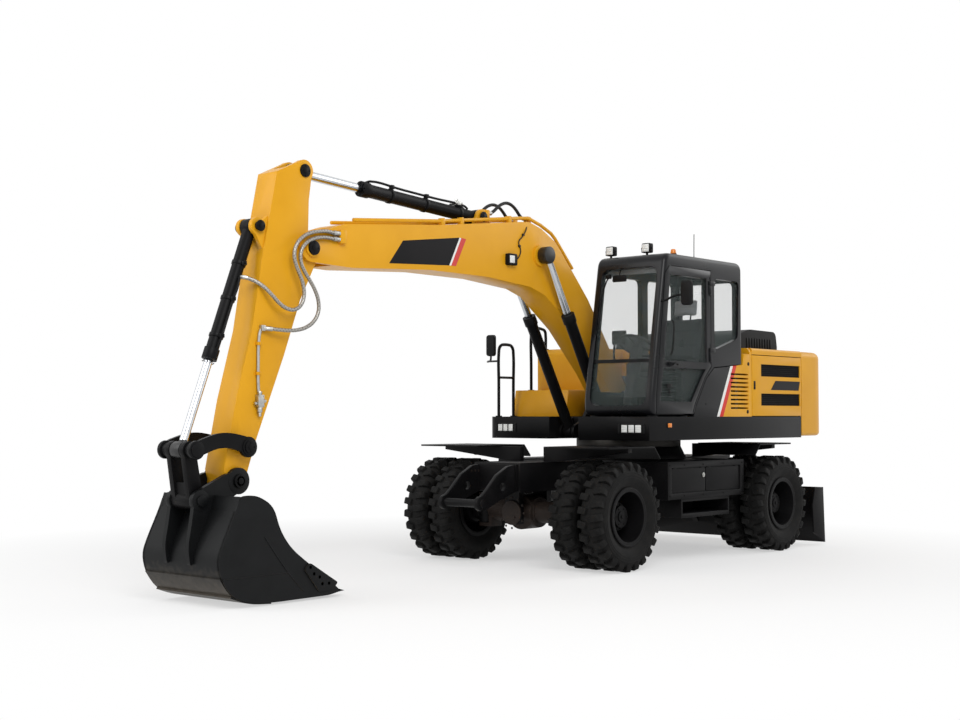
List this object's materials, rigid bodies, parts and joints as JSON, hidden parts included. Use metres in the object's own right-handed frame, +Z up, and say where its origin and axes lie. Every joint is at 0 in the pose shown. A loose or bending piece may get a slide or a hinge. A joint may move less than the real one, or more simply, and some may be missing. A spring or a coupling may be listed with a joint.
{
  "type": "wheeled excavator",
  "caption": "Wheeled excavator on twin tyres with a slewing cab, a one-piece boom, arm and backhoe bucket, and a dozer blade at the rear.",
  "frame": {"origin": "on the ground, in the middle of the machine's length and width", "axes": "+X forward to the bucket, +Y to the cab side, +Z up"},
  "size_m": [8.188, 3.12, 3.5911],
  "materials": {
    "yellow paint": "gloss",
    "frame paint": "satin",
    "bare steel": "satin",
    "tyre rubber": "matte",
    "chrome rod": "polished",
    "window glass": "clear",
    "seat cloth": "matte",
    "black plastic": "matte",
    "lamp": "gloss",
    "bucket steel": "satin"
  },
  "bodies": {
    "undercarriage": {"chassis_frame": "frame paint", "slew_ring": "bare steel", "front_axle": "frame paint", "rear_axle": "frame paint", "driveline": "bare steel", "mudguards": "frame paint", "side_boxes": "frame paint", "tow_frame": "frame paint"},
    "knuckle_left": {"knuckle_left": "frame paint"},
    "knuckle_right": {"knuckle_right": "frame paint"},
    "wheels_front_left": {"rims_front_left": "frame paint", "tyres_front_left": "tyre rubber"},
    "wheels_front_right": {"rims_front_right": "frame paint", "tyres_front_right": "tyre rubber"},
    "wheels_rear_left": {"rims_rear_left": "frame paint", "tyres_rear_left": "tyre rubber"},
    "wheels_rear_right": {"rims_rear_right": "frame paint", "tyres_rear_right": "tyre rubber"},
    "blade": {"blade": "frame paint"},
    "blade_barrels": {"blade_barrels": "frame paint"},
    "blade_rods": {"blade_rods": "chrome rod"},
    "upper": {"platform": "frame paint", "counterweight": "yellow paint", "engine": "bare steel", "hood_frame": "yellow paint", "left_panel": "yellow paint", "fuel_tank": "yellow paint", "tool_box": "yellow paint", "valve_block": "bare steel", "handrails": "frame paint", "mirrors": "frame paint", "cab_frame": "frame paint", "cab_glass": "window glass", "cab_seat": "seat cloth", "cab_controls": "black plastic", "lamps": "lamp"},
    "cab_door": {"cab_door": "frame paint", "door_glass": "window glass"},
    "bonnet": {"bonnet": "yellow paint", "bonnet_grille": "black plastic"},
    "service_door_left": {"service_door_left": "yellow paint"},
    "service_door_right": {"service_door_right": "yellow paint"},
    "boom": {"boom": "yellow paint", "boom_pipes": "yellow paint"},
    "boom_barrels": {"boom_barrels": "frame paint"},
    "boom_rods": {"boom_rods": "chrome rod"},
    "arm": {"arm": "yellow paint"},
    "arm_barrel": {"arm_barrel": "frame paint"},
    "arm_rod": {"arm_rod": "chrome rod"},
    "bucket_barrel": {"bucket_barrel": "frame paint"},
    "bucket_rod": {"bucket_rod": "chrome rod"},
    "rocker_links": {"rocker_links": "frame paint"},
    "bucket_link": {"bucket_link": "frame paint"},
    "bucket": {"bucket": "bucket steel"}
  },
  "joints": [
    {"name": "slew", "type": "hinge", "parent": "undercarriage", "child": "upper", "pos_m": [-1.89549, 0, 1.2], "axis": [0, 0, 1], "continuous": true},
    {"name": "steer_left", "type": "hinge", "parent": "undercarriage", "child": "knuckle_left", "pos_m": [-0.19049, 0.54, 0.515], "axis": [0, 0, 1], "range_deg": [-28, 28]},
    {"name": "steer_right", "type": "hinge", "parent": "undercarriage", "child": "knuckle_right", "pos_m": [-0.19049, -0.54, 0.515], "axis": [0, 0, 1], "range_deg": [-28, 28]},
    {"name": "spin_front_left", "type": "hinge", "parent": "knuckle_left", "child": "wheels_front_left", "pos_m": [-0.19049, 0.94, 0.515], "axis": [0, 1, 0], "continuous": true},
    {"name": "spin_front_right", "type": "hinge", "parent": "knuckle_right", "child": "wheels_front_right", "pos_m": [-0.19049, -0.94, 0.515], "axis": [0, 1, 0], "continuous": true},
    {"name": "spin_rear_left", "type": "hinge", "parent": "undercarriage", "child": "wheels_rear_left", "pos_m": [-3.04049, 0.94, 0.515], "axis": [0, 1, 0], "continuous": true},
    {"name": "spin_rear_right", "type": "hinge", "parent": "undercarriage", "child": "wheels_rear_right", "pos_m": [-3.04049, -0.94, 0.515], "axis": [0, 1, 0], "continuous": true},
    {"name": "blade_lift", "type": "hinge", "parent": "undercarriage", "child": "blade", "pos_m": [-3.57149, 0, 0.6], "axis": [0, 1, 0], "range_deg": [-8, 25]},
    {"name": "blade_barrels_swing", "type": "hinge", "parent": "undercarriage", "child": "blade_barrels", "pos_m": [-3.54549, 0, 0.9], "axis": [0, 1, 0], "range_deg": [-4.47, 12.7]},
    {"name": "blade_rods_slide", "type": "slide", "parent": "blade_barrels", "child": "blade_rods", "axis": [-0.4872, 0, -0.8733], "range_m": [-0.0661, 0.0239]},
    {"name": "boom_lift", "type": "hinge", "parent": "upper", "child": "boom", "pos_m": [-1.59549, 0, 1.61], "axis": [0, -1, 0], "range_deg": [-45, 36]},
    {"name": "boom_barrels_swing", "type": "hinge", "parent": "upper", "child": "boom_barrels", "pos_m": [-1.19549, 0, 1.3], "axis": [0, -1, 0], "range_deg": [-45.05, 36.16]},
    {"name": "boom_rods_slide", "type": "slide", "parent": "boom_barrels", "child": "boom_rods", "axis": [0.5052, 0, 0.863], "range_m": [-0.3763, 0.3018]},
    {"name": "arm_swing", "type": "hinge", "parent": "boom", "child": "arm", "pos_m": [2.82476, 0, 2.85414], "axis": [0, 1, 0], "range_deg": [-50, 55]},
    {"name": "arm_barrel_swing", "type": "hinge", "parent": "boom", "child": "arm_barrel", "pos_m": [0.61354, 0, 3.35061], "axis": [0, 1, 0], "range_deg": [-2.83, 3.05]},
    {"name": "arm_rod_slide", "type": "slide", "parent": "arm_barrel", "child": "arm_rod", "axis": [0.9978, 0, 0.0656], "range_m": [-0.4989, 0.5484]},
    {"name": "bucket_curl", "type": "hinge", "parent": "arm", "child": "bucket", "pos_m": [3.58237, 0, 0.95035], "axis": [0, 1, 0], "range_deg": [-85, 55]},
    {"name": "bucket_barrel_swing", "type": "hinge", "parent": "arm", "child": "bucket_barrel", "pos_m": [3.35089, 0, 2.99248], "axis": [0, 1, 0], "range_deg": [-2.12, 1.58]},
    {"name": "bucket_rod_slide", "type": "slide", "parent": "bucket_barrel", "child": "bucket_rod", "axis": [0.3498, 0, -0.9368], "range_m": [-0.5143, 0.3342]},
    {"name": "rocker_swing", "type": "hinge", "parent": "arm", "child": "rocker_links", "pos_m": [3.51524, 0, 1.21638], "axis": [0, 1, 0], "range_deg": [-67.78, 44.07]},
    {"name": "link_swing", "type": "hinge", "parent": "bucket", "child": "bucket_link", "pos_m": [3.95203, 0, 0.81116], "axis": [0, 1, 0], "range_deg": [-37.95, 58.32]},
    {"name": "cab_door_swing", "type": "hinge", "parent": "upper", "child": "cab_door", "pos_m": [-1.63949, 1.202, 2.2], "axis": [0, 0, 1], "range_deg": [0, 100]},
    {"name": "bonnet_lift", "type": "hinge", "parent": "upper", "child": "bonnet", "pos_m": [-2.47249, 0, 2.198], "axis": [0, 1, 0], "range_deg": [0, 50]},
    {"name": "service_left_swing", "type": "hinge", "parent": "upper", "child": "service_door_left", "pos_m": [-3.49249, 1.184, 1.8], "axis": [0, 0, 1], "range_deg": [0, 100]},
    {"name": "service_right_swing", "type": "hinge", "parent": "upper", "child": "service_door_right", "pos_m": [-3.49249, -1.184, 1.8], "axis": [0, 0, -1], "range_deg": [0, 100]}
  ],
  "couplings": [
    {"joint": "steer_right", "follows": "steer_left", "ratio": 1},
    {"joint": "blade_barrels_swing", "follows": "blade_lift", "ratio": 0.484},
    {"joint": "blade_rods_slide", "follows": "blade_lift", "m_per_rad": -0.1424},
    {"joint": "boom_barrels_swing", "follows": "boom_lift", "ratio": 0.9878},
    {"joint": "boom_rods_slide", "follows": "boom_lift", "m_per_rad": 0.474},
    {"joint": "arm_barrel_swing", "follows": "arm_swing", "ratio": 0.0445},
    {"joint": "arm_rod_slide", "follows": "arm_swing", "m_per_rad": 0.5671},
    {"joint": "bucket_barrel_swing", "follows": "bucket_curl", "ratio": 0.0179},
    {"joint": "bucket_rod_slide", "follows": "bucket_curl", "m_per_rad": 0.344},
    {"joint": "rocker_swing", "follows": "bucket_curl", "ratio": 0.7903},
    {"joint": "link_swing", "follows": "bucket_curl", "ratio": -0.679}
  ]
}
